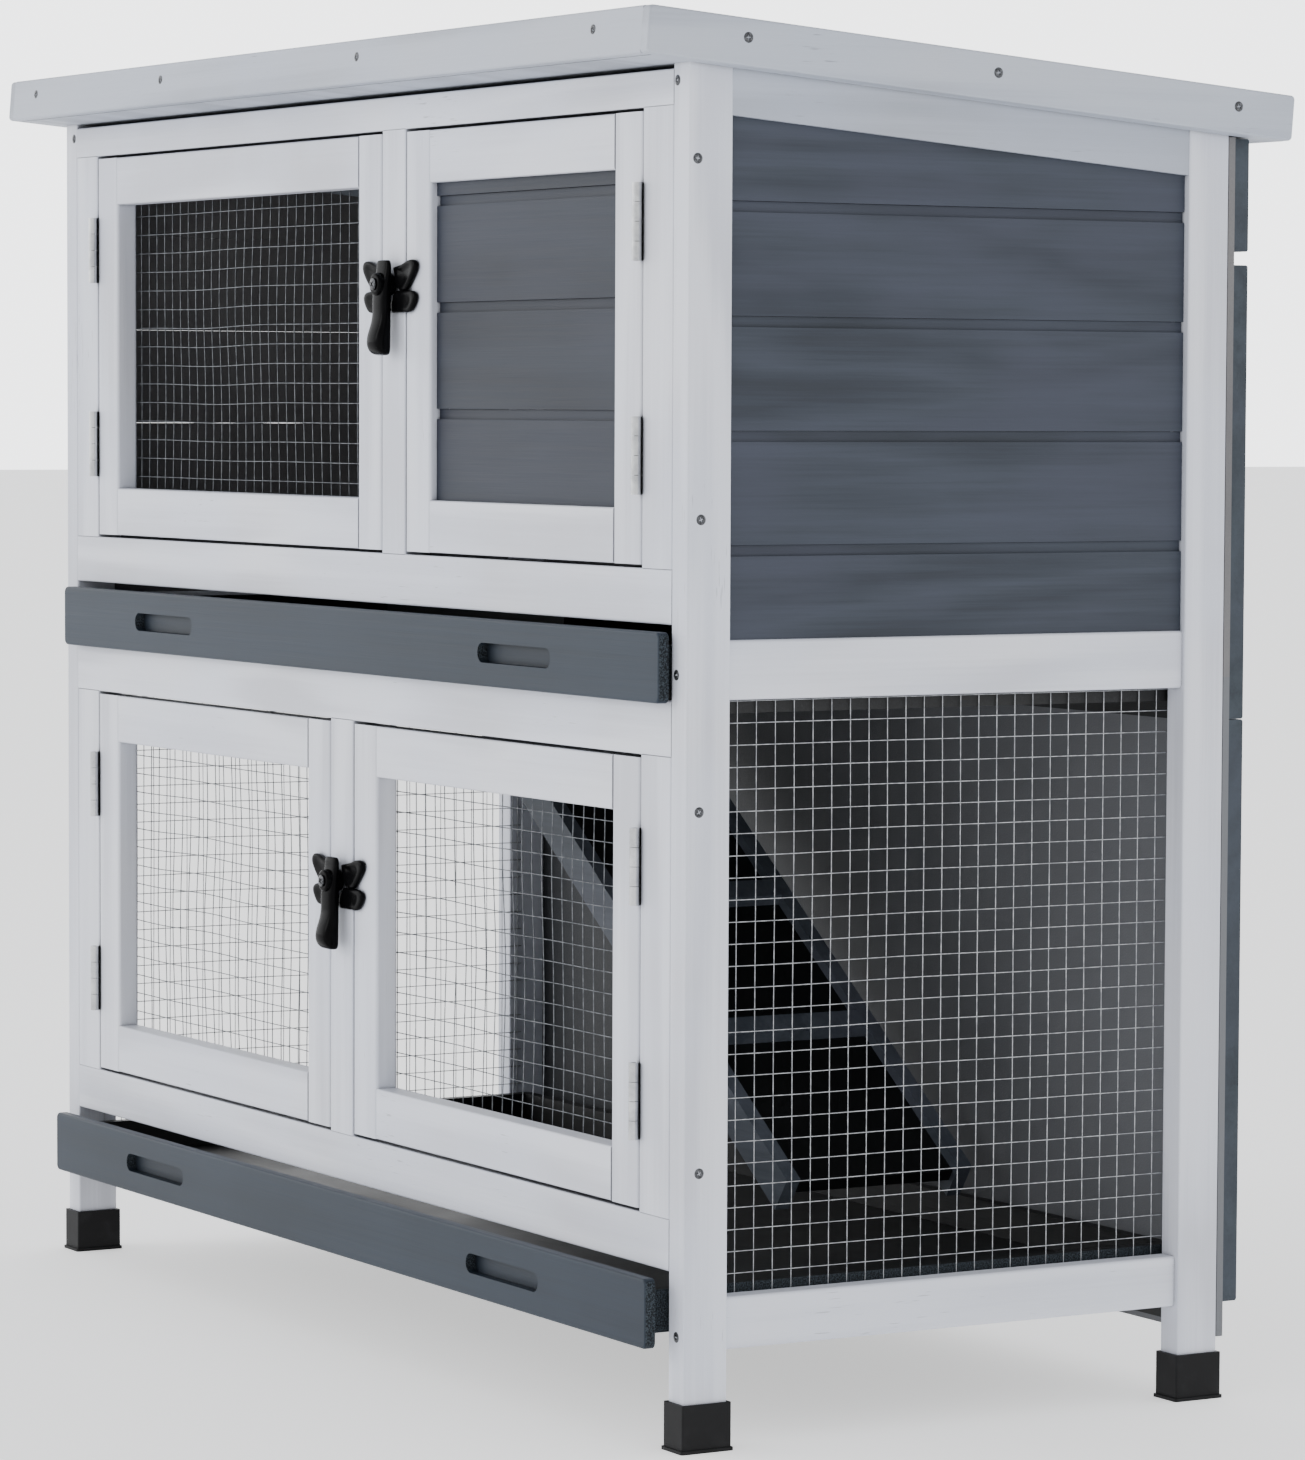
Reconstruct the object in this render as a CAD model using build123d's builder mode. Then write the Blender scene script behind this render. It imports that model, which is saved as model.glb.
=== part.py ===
from build123d import *
import math
import os

# Two-storey timber rabbit hutch. Millimetres, +Z up, front towards -Y.
# The origin is on the floor, under the middle of the roof.

os.makedirs("parts", exist_ok=True)

# ---- driving dimensions ----
half_width = 432.5          # outer face of the posts
half_depth = 186.0          # front and back faces of the posts
post_wide = 18.0
post_deep = 28.5
post_inner = half_width - post_wide
post_foot = 3.2             # the post stands on the floor of its cap
edge_round = 1.2            # planed arris on painted timber
joint_line = 0.2            # hairline between two boards of one group

roof_slope = 4.73           # degrees, falling towards the back
roof_under = 774.0          # underside of the roof over the origin
roof_wide = 896.6
roof_deep = 445.0
roof_shift = -1.1           # centres the tilted roof over the origin
fascia_high = 27.0
fascia_thick = 8.0
batten_high = 16.5
batten_half = 165.0         # inner faces of the front and back battens
roof_board_thick = 8.0
felt_thick = 2.0

frame_thick = 18.0          # front frames, front to back
frame_back = -half_depth + frame_thick
upper_door_low, upper_door_high = 504.0, 766.0
upper_frame_low, upper_frame_high = 472.5, 786.6
lower_door_low, lower_door_high = 132.7, 397.0
lower_frame_low, lower_frame_high = 102.6, 429.8
door_side = 380.0           # hinge line, left and right
upper_mullion = (53.0, 84.0)
lower_mullion = (-18.7, 12.6)

mid_rail_high = 464.0
side_mid_inset = 3.0
bottom_rail_low, bottom_rail_high = 57.0, 87.5
side_bottom_inset = 4.0
top_rail_high = 26.5
top_rail_inset = 1.0

siding_outer = half_width - 5.0
siding_thick = 9.0
siding_board = 65.0
siding_joint = 517.7        # first joint above the middle rail
lap_tall, lap_deep = 6.2, 2.2   # each board's rebated top edge, left in view
panel_joints = (594.0, 659.0, 724.0)

mesh_pitch = 12.7
wire = 1.0
side_mesh_face = post_inner - 0.2
side_mesh_y, side_mesh_z = -167.0, 85.5
side_columns, side_rows = 27, 29

back_sheet_thick = 4.5
back_sheet_low = 37.0
back_board_thick = 10.0
lower_board_z = (58.0, 410.2)
middle_board_z = (410.6, 682.0)
top_board_low = 690.0       # an open slot is left under the top board
roof_clear = 0.4            # between the back and the sloping underside
rear_rail_deep = 16.0
rear_rail_low_z = (45.0, 66.8)
rear_rail_middle_low = 409.8
rear_rail_top_low = 736.0

floor_thick = 6.0
floor_top = lower_frame_high + floor_thick
floor_half = 412.4
hole_left, hole_right = -262.0, -52.0
hole_front, hole_back = 12.0, 169.0
upper_runner_inner, upper_runner_low = 394.0, 421.3
lower_runner_inner = 396.0

ramp_foot_x, ramp_foot_z = 209.0, 103.0
ramp_front, ramp_back = 22.0, 160.0
ramp_pitch = 35.2
ramp_long = 572.5
ramp_side_thick, ramp_side_high = 10.0, 25.0
ramp_side_above = 5.0       # how far the side boards rise over the slope line
ramp_side_start = 12.0      # along the slope, from the foot point
ramp_tread_start = 16.0
ramp_tread_low, ramp_tread_high = -10.0, -2.0
cleat_first, cleat_pitch, cleat_count = 146.5, 134.0, 3
cleat_wide, cleat_top = 16.5, 6.5

tray_half = 410.0
tray_depth = 368.0
tray_wall_high = 25.0
tray_wall = 8.0
tray_floor = 4.0
tray_front_half = 417.0
tray_front_thick = 6.5
tray_front_high = 40.5
tray_front_drop = 8.0       # how far the front board hangs below the tray
slot_long, slot_high = 91.0, 12.0
slot_left, slot_right = -252.0, 243.5
upper_tray_face, lower_tray_face = -195.5, -202.6
upper_tray_low = floor_top + 0.2
lower_tray_low = 67.0
notch_left, notch_right, notch_front = -276.0, -38.0, -2.0

door_thick = 15.0
door_gap = 1.2
door_gap_ends = 1.9         # above and below each door
hinge_gap = 1.2
frame_member = 32.0
panel_thick, panel_inset = 9.0, 5.0

barrel_radius, pin_radius, pin_clearance = 3.0, 1.3, 0.05
barrel_out = 3.4            # barrel centre in front of the timber
hinge_tall = 45.0
knuckles = 4
leaf_thick = 0.45
leaf_deep = 13.0
hinge_inset = 40.0          # door end to hinge end

hub_height_upper, hub_height_lower = 670.8, 294.8
hub_radius, hub_deep = 7.5, 13.8
keeper_thick = 4.0
lever_back, lever_half = 4.6, 6.0

cap_wall, cap_high = 2.0, 28.0
cap_floor, cap_rim = 3.0, 1.1
screw_radius, screw_proud = 3.0, 0.5
post_side_screws = [(-180.5, 735.6), (-177.3, 532.5), (-177.7, 366.8), (-176.6, 160.6)]
post_front_screws = [(419.0, 779.7), (420.5, 444.4), (423.5, 66.0)]
fascia_front_screws = (-403.0, -198.5, 88.0, 384.5)
fascia_side_screws = (-159.0, 9.5, 180.5)
fascia_screw_high = 16.0


def under_roof(y):
    """Height of the sloping underside at one distance from the middle."""
    return roof_under - math.tan(math.radians(roof_slope)) * y


def span_box(x, y, z):
    """Add a plain board to the open part, given its three spans."""
    middle = ((x[0] + x[1]) / 2, (y[0] + y[1]) / 2, (z[0] + z[1]) / 2)
    with Locations(middle):
        Box(x[1] - x[0], y[1] - y[0], z[1] - z[0])


def save(piece, name):
    piece.part.label = name
    export_step(piece.part, "parts/" + name + ".step")


roof_plane = Plane(
    origin=(0, 0, roof_under),
    x_dir=(1, 0, 0),
    z_dir=(0, math.sin(math.radians(roof_slope)), math.cos(math.radians(roof_slope))),
)


# ---- posts: sloping tops, planed arrises ----
def make_post(name, side, front_y):
    y0, y1 = front_y, front_y + post_deep
    x0 = post_inner if side > 0 else -half_width
    with BuildPart() as post:
        with BuildSketch(Plane.YZ.offset(x0)):
            with BuildLine():
                Polyline(
                    (y0, post_foot),
                    (y1, post_foot),
                    (y1, under_roof(y1)),
                    (y0, under_roof(y0)),
                    close=True,
                )
            make_face()
        extrude(amount=post_wide)
        fillet(post.edges().filter_by(Axis.Z), edge_round)
    save(post, name)


make_post("post_front_left", -1, -half_depth)
make_post("post_front_right", 1, -half_depth)
make_post("post_rear_left", -1, half_depth - post_deep)
make_post("post_rear_right", 1, half_depth - post_deep)


# ---- foot caps: one moulded cup under each post ----
def make_foot_caps():
    cap_wide, cap_deep = post_wide + 2 * cap_wall, post_deep + 2 * cap_wall
    corner_x, corner_y = half_width - post_wide / 2, half_depth - post_deep / 2
    with BuildPart() as caps:
        with BuildSketch():
            with GridLocations(2 * corner_x, 2 * corner_y, 2, 2):
                RectangleRounded(cap_wide + 2 * cap_rim, cap_deep + 2 * cap_rim, 1.5)
        extrude(amount=2.0)
        with BuildSketch():
            with GridLocations(2 * corner_x, 2 * corner_y, 2, 2):
                RectangleRounded(cap_wide, cap_deep, 1.0)
        extrude(amount=cap_high)
        with BuildSketch(Plane.XY.offset(cap_floor)):
            with GridLocations(2 * corner_x, 2 * corner_y, 2, 2):
                Rectangle(post_wide, post_deep)
        extrude(amount=cap_high, mode=Mode.SUBTRACT)
    save(caps, "foot_caps")


make_foot_caps()


# ---- front frames ----
def make_rail(name, x, y, z):
    with BuildPart() as rail:
        span_box(x, y, z)
        fillet(rail.edges().filter_by(Axis.X), edge_round)
    save(rail, name)


def make_uprights(name, spans, y, z):
    with BuildPart() as uprights:
        for x in spans:
            span_box(x, y, z)
        fillet(uprights.edges().filter_by(Axis.Z), edge_round)
    save(uprights, name)


frame_y = (-half_depth, frame_back)
frame_x = (-post_inner, post_inner)
stile_spans = [(-post_inner, -door_side), (door_side, post_inner)]
upper_door_z = (upper_door_low, upper_door_high)
lower_door_z = (lower_door_low, lower_door_high)
make_rail("upper_front_top_rail", frame_x, frame_y, (upper_door_high, upper_frame_high))
make_rail("upper_front_bottom_rail", frame_x, frame_y, (upper_frame_low, upper_door_low))
make_uprights("upper_front_stiles", stile_spans, frame_y, upper_door_z)
make_uprights("upper_front_mullion", [upper_mullion], frame_y, upper_door_z)
make_rail("lower_front_top_rail", frame_x, frame_y, (lower_door_high, lower_frame_high))
make_rail("lower_front_bottom_rail", frame_x, frame_y, (lower_frame_low, lower_door_low))
make_uprights("lower_front_stiles", stile_spans, frame_y, lower_door_z)
make_uprights("lower_front_mullion", [lower_mullion], frame_y, lower_door_z)

# ---- side rails, between the posts ----
side_half = half_depth - post_deep
both_sides = (-1, 1)


def side_span(side, inner, outer):
    return (inner, outer) if side > 0 else (-outer, -inner)


def make_top_side_rails():
    with BuildPart() as rails:
        for side in both_sides:
            x = side_span(side, post_inner, half_width - top_rail_inset)
            with BuildSketch(Plane.YZ.offset(x[0])):
                with BuildLine():
                    Polyline(
                        (-side_half, under_roof(-side_half) - top_rail_high),
                        (side_half, under_roof(side_half) - top_rail_high),
                        (side_half, under_roof(side_half)),
                        (-side_half, under_roof(-side_half)),
                        close=True,
                    )
                make_face()
            extrude(amount=x[1] - x[0])
    save(rails, "top_side_rails")


def make_side_rails(name, inset, low, high):
    with BuildPart() as rails:
        for side in both_sides:
            x = side_span(side, post_inner, half_width - inset)
            span_box(x, (-side_half, side_half), (low, high))
        fillet(rails.edges().filter_by(Axis.Y), 2.0)
    save(rails, name)


make_top_side_rails()
make_side_rails("mid_side_rails", side_mid_inset, lower_frame_high, mid_rail_high)
make_side_rails("bottom_side_rails", side_bottom_inset, bottom_rail_low, bottom_rail_high)


# ---- side cladding: five lapped boards, level on the inner face ----
def board_profile(inner, outer, low, high, lapped=True):
    """Section of one board: flat, with a shallow rebate along its top outer edge."""
    if not lapped:
        return [(inner, low), (outer, low), (outer, high), (inner, high)]
    cut = math.copysign(lap_deep, outer - inner)
    return [
        (inner, low),
        (outer, low),
        (outer, high - lap_tall),
        (outer - cut, high - lap_tall),
        (outer - cut, high),
        (inner, high),
    ]


def make_siding(name, side):
    joints = [siding_joint + i * siding_board for i in range(4)]
    lows = [mid_rail_high] + [z + joint_line / 2 for z in joints]
    highs = [z - joint_line / 2 for z in joints] + [siding_joint + 5 * siding_board]
    inner, outer = side * (siding_outer - siding_thick), side * siding_outer
    with BuildPart() as siding:
        for low, high in zip(lows, highs):
            with BuildSketch(Plane.XZ.offset(-side_half)):
                with BuildLine():
                    Polyline(board_profile(inner, outer, low, high), close=True)
                make_face()
            extrude(amount=2 * side_half)
        with BuildSketch(Plane.YZ.offset(-half_width)):
            with BuildLine():
                Polyline(
                    (-half_depth, under_roof(-half_depth) - top_rail_high),
                    (half_depth, under_roof(half_depth) - top_rail_high),
                    (half_depth, under_roof(-half_depth) + siding_board),
                    (-half_depth, under_roof(-half_depth) + siding_board),
                    close=True,
                )
            make_face()
        extrude(amount=2 * half_width, mode=Mode.SUBTRACT)
    save(siding, name)


make_siding("left_siding", -1)
make_siding("right_siding", 1)


# ---- welded mesh: square holes cut from a wire-thick sheet ----
def make_side_mesh(name, side):
    wide = (side_columns - 1) * mesh_pitch
    tall = (side_rows - 1) * mesh_pitch
    middle_y, middle_z = side_mesh_y + wide / 2, side_mesh_z + tall / 2
    x0 = side_mesh_face if side > 0 else -side_mesh_face + wire
    with BuildPart() as mesh:
        with BuildSketch(Plane.YZ.offset(x0)):
            with Locations((middle_y, middle_z)):
                Rectangle(wide + wire, tall + wire)
                with GridLocations(mesh_pitch, mesh_pitch, side_columns - 1, side_rows - 1):
                    Rectangle(mesh_pitch - wire, mesh_pitch - wire, mode=Mode.SUBTRACT)
        extrude(amount=-wire)
    save(mesh, name)


make_side_mesh("left_mesh", -1)
make_side_mesh("right_mesh", 1)


# ---- back: thin inner sheet with thicker boards outside it ----
def make_back():
    sheet_y = (half_depth, half_depth + back_sheet_thick)
    board_y = (sheet_y[1], sheet_y[1] + back_board_thick)
    wide = (-half_width, half_width)
    with BuildPart() as sheet:
        span_box(wide, sheet_y, (back_sheet_low, under_roof(sheet_y[1]) - roof_clear))
    save(sheet, "back_sheet")
    with BuildPart() as upper:
        span_box(wide, board_y, middle_board_z)
        span_box(wide, board_y, (top_board_low, under_roof(board_y[1]) - roof_clear))
        fillet(upper.edges().filter_by(Axis.X).group_by(Axis.Y)[-1], 1.5)
    save(upper, "back_upper_boards")
    with BuildPart() as lower:
        span_box(wide, board_y, lower_board_z)
        fillet(lower.edges().filter_by(Axis.X).group_by(Axis.Y)[-1], 1.5)
    save(lower, "back_lower_board")
    rail_x = (-post_inner, post_inner)
    rail_y = (half_depth - rear_rail_deep, half_depth)
    with BuildPart() as rails:
        span_box(rail_x, rail_y, rear_rail_low_z)
        span_box(rail_x, rail_y, (rear_rail_middle_low, lower_frame_high))
        span_box(rail_x, rail_y, (rear_rail_top_low, under_roof(half_depth) - roof_clear))
    save(rails, "rear_rails")


make_back()


# ---- roof, built in its own tilted plane ----
def make_roof():
    inside_wide = roof_wide - 2 * fascia_thick
    inside_deep = roof_deep - 2 * fascia_thick
    front_y, back_y = roof_shift - inside_deep / 2, roof_shift + inside_deep / 2
    board_low = batten_high
    with BuildPart(roof_plane) as battens:
        half = inside_wide / 2
        span_box((-half, half), (front_y, -batten_half), (0, batten_high))
        span_box((-half, half), (batten_half, back_y), (0, batten_high))
        for side in both_sides:
            x = side_span(side, post_inner, half)
            between = batten_half - joint_line
            span_box(x, (-between, between), (0, batten_high))
    save(battens, "roof_battens")
    with BuildPart(roof_plane) as board:
        with Locations((0, roof_shift, board_low + roof_board_thick / 2)):
            Box(inside_wide, inside_deep, roof_board_thick)
    save(board, "roof_board")
    with BuildPart(roof_plane) as felt:
        with Locations((0, roof_shift, board_low + roof_board_thick + felt_thick / 2)):
            Box(inside_wide, inside_deep, felt_thick)
    save(felt, "roof_felt")
    ends_y = (front_y - fascia_thick / 2, back_y + fascia_thick / 2)
    for name, y in zip(("fascia_front", "fascia_back"), ends_y):
        with BuildPart(roof_plane) as fascia:
            with Locations((0, y, fascia_high / 2)):
                Box(inside_wide, fascia_thick, fascia_high)
            fillet(fascia.edges().filter_by(Axis.X), 1.6)
        save(fascia, name)
    with BuildPart(roof_plane) as fascias:
        with Locations((0, roof_shift, fascia_high / 2)):
            with GridLocations(roof_wide - fascia_thick, 1, 2, 1):
                Box(fascia_thick, roof_deep, fascia_high)
        fillet(fascias.edges().filter_by(Axis.X), 2.6)
        ends = fascias.faces().sort_by(Axis.X)
        fillet(ends[0].edges() + ends[-1].edges(), 1.4)
    save(fascias, "fascia_sides")


make_roof()


# ---- upper floor with the ramp hole, and what carries it ----
def make_floor():
    with BuildPart() as floor:
        floor_y = (-half_depth + 1.0, half_depth - 0.5)
        span_box((-floor_half, floor_half), floor_y, (lower_frame_high, floor_top))
        with BuildSketch(Plane.XY.offset(lower_frame_high)):
            with BuildLine():
                Polyline(
                    (hole_left, hole_front),
                    (hole_right, hole_front),
                    (hole_right, hole_back),
                    (hole_left, hole_back),
                    close=True,
                )
            make_face()
        extrude(amount=floor_thick, mode=Mode.SUBTRACT)
    save(floor, "upper_floor")
    runner_back = half_depth - rear_rail_deep
    lower_z = (bottom_rail_low + joint_line, lower_tray_low - joint_line)
    with BuildPart() as runners:
        for side in both_sides:
            upper = side_span(side, upper_runner_inner, floor_half)
            span_box(upper, (frame_back, runner_back), (upper_runner_low, lower_frame_high))
            lower = side_span(side, lower_runner_inner, post_inner)
            span_box(lower, (-side_half, runner_back), lower_z)
    save(runners, "tray_runners")


make_floor()


# ---- ramp: sloping board between two side boards, with foot cleats ----
ramp_plane = Plane(
    origin=(ramp_foot_x, (ramp_front + ramp_back) / 2, ramp_foot_z),
    x_dir=(-math.cos(math.radians(ramp_pitch)), 0, math.sin(math.radians(ramp_pitch))),
    z_dir=(math.sin(math.radians(ramp_pitch)), 0, math.cos(math.radians(ramp_pitch))),
)


def make_ramp():
    ramp_wide = ramp_back - ramp_front
    tread_half = ramp_wide / 2 - ramp_side_thick
    with BuildPart(ramp_plane) as tread:
        tread_z = (ramp_tread_low, ramp_tread_high)
        span_box((ramp_tread_start, ramp_long), (-tread_half, tread_half), tread_z)
    save(tread, "ramp_tread")
    with BuildPart(ramp_plane) as trim:
        for side in both_sides:
            y = side_span(side, tread_half, ramp_wide / 2)
            side_z = (ramp_side_above - ramp_side_high, ramp_side_above)
            span_box((ramp_side_start, ramp_long), y, side_z)
        cleat_half = tread_half - joint_line
        for step in range(cleat_count):
            start = cleat_first + step * cleat_pitch
            cleat_z = (ramp_tread_high, cleat_top)
            span_box((start, start + cleat_wide), (-cleat_half, cleat_half), cleat_z)
    save(trim, "ramp_trim")


make_ramp()


# ---- doors ----
doors = {
    "ul": (-door_side, upper_mullion[0], upper_door_low, upper_door_high, -1),
    "ur": (upper_mullion[1], door_side, upper_door_low, upper_door_high, 1),
    "ll": (-door_side, lower_mullion[0], lower_door_low, lower_door_high, -1),
    "lr": (lower_mullion[1], door_side, lower_door_low, lower_door_high, 1),
}


def door_outline(key):
    """Spans of the door leaf inside its opening, and the side its hinges are on."""
    x0, x1, z0, z1, hinge_side = doors[key]
    left_gap = hinge_gap if hinge_side < 0 else door_gap
    right_gap = hinge_gap if hinge_side > 0 else door_gap
    return (x0 + left_gap, x1 - right_gap), (z0 + door_gap_ends, z1 - door_gap_ends), hinge_side


def make_door_frame(key):
    x, z, _ = door_outline(key)
    y = (-half_depth, -half_depth + door_thick)
    with BuildPart() as frame:
        span_box((x[0], x[0] + frame_member), y, z)
        span_box((x[1] - frame_member, x[1]), y, z)
        fillet(frame.edges().filter_by(Axis.Z), 2.2)
        inner = (x[0] + frame_member + joint_line, x[1] - frame_member - joint_line)
        span_box(inner, y, (z[0], z[0] + frame_member))
        fillet(frame.edges(Select.LAST).filter_by(Axis.X), 1.4)
        span_box(inner, y, (z[1] - frame_member, z[1]))
        fillet(frame.edges(Select.LAST).filter_by(Axis.X), 1.4)
    save(frame, "door_" + key + "_frame")


def make_door_mesh(key):
    x, z, _ = door_outline(key)
    lap = 8.0
    wide = x[1] - x[0] - 2 * (frame_member - lap)
    tall = z[1] - z[0] - 2 * (frame_member - lap)
    columns, rows = int(wide // mesh_pitch), int(tall // mesh_pitch)
    with BuildPart() as mesh:
        with BuildSketch(Plane.XZ.offset(half_depth - door_thick - 0.1)):
            with Locations(((x[0] + x[1]) / 2, (z[0] + z[1]) / 2)):
                Rectangle(columns * mesh_pitch + wire, rows * mesh_pitch + wire)
                with GridLocations(mesh_pitch, mesh_pitch, columns, rows):
                    Rectangle(mesh_pitch - wire, mesh_pitch - wire, mode=Mode.SUBTRACT)
        extrude(amount=-wire)
    save(mesh, "door_" + key + "_mesh")


def make_door_panel(key):
    x, z, _ = door_outline(key)
    inner = (x[0] + frame_member, x[1] - frame_member)
    front = -half_depth + panel_inset
    low, high = z[0] + frame_member, z[1] - frame_member
    lows = [low] + [height + joint_line / 2 for height in panel_joints]
    highs = [height - joint_line / 2 for height in panel_joints] + [high]
    with BuildPart() as panel:
        for z0, z1 in zip(lows, highs):
            with BuildSketch(Plane.YZ.offset(inner[0])):
                with BuildLine():
                    outline = board_profile(front + panel_thick, front, z0, z1, z1 < high)
                    Polyline(outline, close=True)
                make_face()
            extrude(amount=inner[1] - inner[0])
    save(panel, "door_" + key + "_panel")


for key in doors:
    make_door_frame(key)
for key in ("ul", "ll", "lr"):
    make_door_mesh(key)
make_door_panel("ur")


# ---- butt hinges: two to a door, knuckles shared between two leaves ----
barrel_y = -half_depth - barrel_out
barrel_x = door_side - hinge_gap / 2
knuckle_tall = hinge_tall / knuckles


def hinge_lows(key):
    _, z, _ = door_outline(key)
    return (z[0] + hinge_inset, z[1] - hinge_inset - hinge_tall)


def add_leaf(axis_x, low, into, first):
    """One leaf: its plate in the joint and every other knuckle, from 'first' up."""
    near, far = 0.05, 0.05 + leaf_thick
    x = (axis_x + near, axis_x + far) if into > 0 else (axis_x - far, axis_x - near)
    span_box(x, (-half_depth + 0.2, -half_depth + leaf_deep), (low, low + hinge_tall))
    for k in range(first, knuckles, 2):
        z0 = low + k * knuckle_tall
        tall = knuckle_tall - 0.3
        with Locations((axis_x, barrel_y, z0 + tall / 2)):
            Cylinder(barrel_radius, tall)
        span_box(x, (barrel_y + pin_radius + 0.6, -half_depth + 0.3), (z0, z0 + tall))


def bore_knuckles(axis_x, low):
    with Locations((axis_x, barrel_y, low + hinge_tall / 2)):
        Cylinder(pin_radius + pin_clearance, hinge_tall + 4, mode=Mode.SUBTRACT)


def make_hinges():
    with BuildPart() as fixed:
        for key in doors:
            axis_x = doors[key][4] * barrel_x
            for low in hinge_lows(key):
                add_leaf(axis_x, low, doors[key][4], 0)
                bore_knuckles(axis_x, low)
    save(fixed, "hinge_frame_leaves")
    with BuildPart() as pins:
        for key in doors:
            for low in hinge_lows(key):
                with Locations((doors[key][4] * barrel_x, barrel_y, low + hinge_tall / 2)):
                    Cylinder(pin_radius, hinge_tall - 1.0)
    save(pins, "hinge_pins")
    for key in doors:
        axis_x = doors[key][4] * barrel_x
        with BuildPart() as moving:
            for low in hinge_lows(key):
                add_leaf(axis_x, low, -doors[key][4], 1)
                bore_knuckles(axis_x, low)
        save(moving, "hinge_door_leaves_" + key)


make_hinges()


# ---- latches: a turning lever on the mullion, a winged catch on each door ----
def make_keeper(name, hub_x, hub_z, side):
    ear_and_lobe = [
        (8.6, -17.0), (27.5, -17.0), (36.5, -8.0), (34.0, -3.4), (19.0, -2.9),
        (27.0, -2.2), (38.5, 10.5), (33.5, 14.2), (25.0, 14.0), (8.6, 5.5),
    ]
    with BuildPart() as keeper:
        with BuildSketch(Plane.XZ.offset(half_depth + 0.2)):
            with BuildLine():
                Polyline([(hub_x + side * x, hub_z + z) for x, z in ear_and_lobe], close=True)
            make_face()
        extrude(amount=keeper_thick)
        outline = keeper.edges().filter_by(Axis.Y)
        fillet(outline.filter_by(lambda e: abs(e.center().X - hub_x) > 25), 2.0)
    save(keeper, name)


def make_lever(name, hub_x, hub_z):
    back = half_depth + lever_back
    profile = [
        (-back, -3.0), (-back, -41.5), (-back - 3.5, -43.6), (-back - 8.0, -41.5),
        (-back - 11.0, -37.0), (-back - 10.6, -32.5), (-back - 8.0, -27.5),
        (-back - 6.6, -20.0), (-back - 7.0, -3.0),
    ]
    with BuildPart() as lever:
        with BuildSketch(Plane.XZ.offset(half_depth + 0.3)):
            with Locations((hub_x, hub_z)):
                Circle(hub_radius)
        extrude(amount=hub_deep)
        with BuildSketch(Plane.YZ.offset(hub_x - lever_half)):
            with BuildLine():
                Polyline([(y, hub_z + z) for y, z in profile], close=True)
            make_face()
        extrude(amount=2 * lever_half)
        fin_sides = lever.edges().filter_by(lambda e: e.center().Z < hub_z - 9)
        fillet(fin_sides.filter_by(lambda e: abs(abs(e.center().X - hub_x) - lever_half) < 0.01), 1.2)
        tab_y = (-back - 5.4, -back)
        span_box((hub_x - lever_half, hub_x + lever_half), tab_y, (hub_z + 2.0, hub_z + 14.5))
        tab_top = lever.edges().filter_by(Axis.Y).group_by(Axis.Z)[-1]
        fillet(tab_top, 3.0)
        with Locations((hub_x, -half_depth - hub_deep / 2, hub_z)):
            Cylinder(2.1, hub_deep + 8, rotation=(90, 0, 0), mode=Mode.SUBTRACT)
    save(lever, name)


upper_hub_x = sum(upper_mullion) / 2
lower_hub_x = sum(lower_mullion) / 2
make_keeper("catch_wing_ul", upper_hub_x, hub_height_upper, -1)
make_keeper("catch_wing_ur", upper_hub_x, hub_height_upper, 1)
make_keeper("catch_wing_ll", lower_hub_x, hub_height_lower, -1)
make_keeper("catch_wing_lr", lower_hub_x, hub_height_lower, 1)
make_lever("latch_lever_upper", upper_hub_x, hub_height_upper)
make_lever("latch_lever_lower", lower_hub_x, hub_height_lower)


def make_latch_screws():
    shank = hub_deep + 0.6
    with BuildPart() as screws:
        for x, z in ((upper_hub_x, hub_height_upper), (lower_hub_x, hub_height_lower)):
            with Locations((x, -half_depth - shank / 2, z)):
                Cylinder(2.0, shank, rotation=(90, 0, 0))
            with Locations((x, -half_depth - shank - 0.6, z)):
                Cylinder(3.6, 1.2, rotation=(90, 0, 0))
    save(screws, "latch_screws")


make_latch_screws()


# ---- pull-out trays ----
def make_tray_front(name, face_y, tray_low):
    low = tray_low - tray_front_drop
    middle_z = low + tray_front_high / 2
    with BuildPart() as front:
        with BuildSketch(Plane.XZ.offset(-face_y - tray_front_thick)):
            with Locations((0, middle_z)):
                RectangleRounded(2 * tray_front_half, tray_front_high, 4.0)
            with Locations((slot_left, middle_z), (slot_right, middle_z)):
                SlotOverall(slot_long, slot_high, mode=Mode.SUBTRACT)
        extrude(amount=tray_front_thick)
        face = front.faces().sort_by(Axis.Y)[0]
        fillet(face.outer_wire().edges(), 1.6)
    save(front, name)


def make_upper_tray_box(front_y, low):
    back_y = front_y + tray_depth
    high = low + tray_wall_high
    floor_high = low + tray_floor
    rim = tray_wall
    with BuildPart() as box:
        with BuildSketch(Plane.XY.offset(low)):
            with BuildLine():
                Polyline(
                    (-tray_half, front_y),
                    (tray_half, front_y),
                    (tray_half, back_y),
                    (notch_right, back_y),
                    (notch_right, notch_front),
                    (notch_left, notch_front),
                    (notch_left, back_y),
                    (-tray_half, back_y),
                    close=True,
                )
            make_face()
        extrude(amount=tray_floor)
        wall_z = (floor_high + joint_line, high)
        inside = tray_half - rim - joint_line
        for side in both_sides:
            span_box(side_span(side, tray_half - rim, tray_half), (front_y, back_y), wall_z)
        span_box((-inside, inside), (front_y, front_y + rim), wall_z)
        span_box((notch_right, inside), (back_y - rim, back_y), wall_z)
        span_box((-inside, notch_left), (back_y - rim, back_y), wall_z)
        notch_y = (notch_front, back_y - rim - joint_line)
        span_box((notch_right, notch_right + rim), notch_y, wall_z)
        span_box((notch_left - rim, notch_left), notch_y, wall_z)
        notch_end = notch_front - joint_line
        span_box((notch_left - rim, notch_right + rim), (notch_end - rim, notch_end), wall_z)
    save(box, "upper_tray_box")


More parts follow.
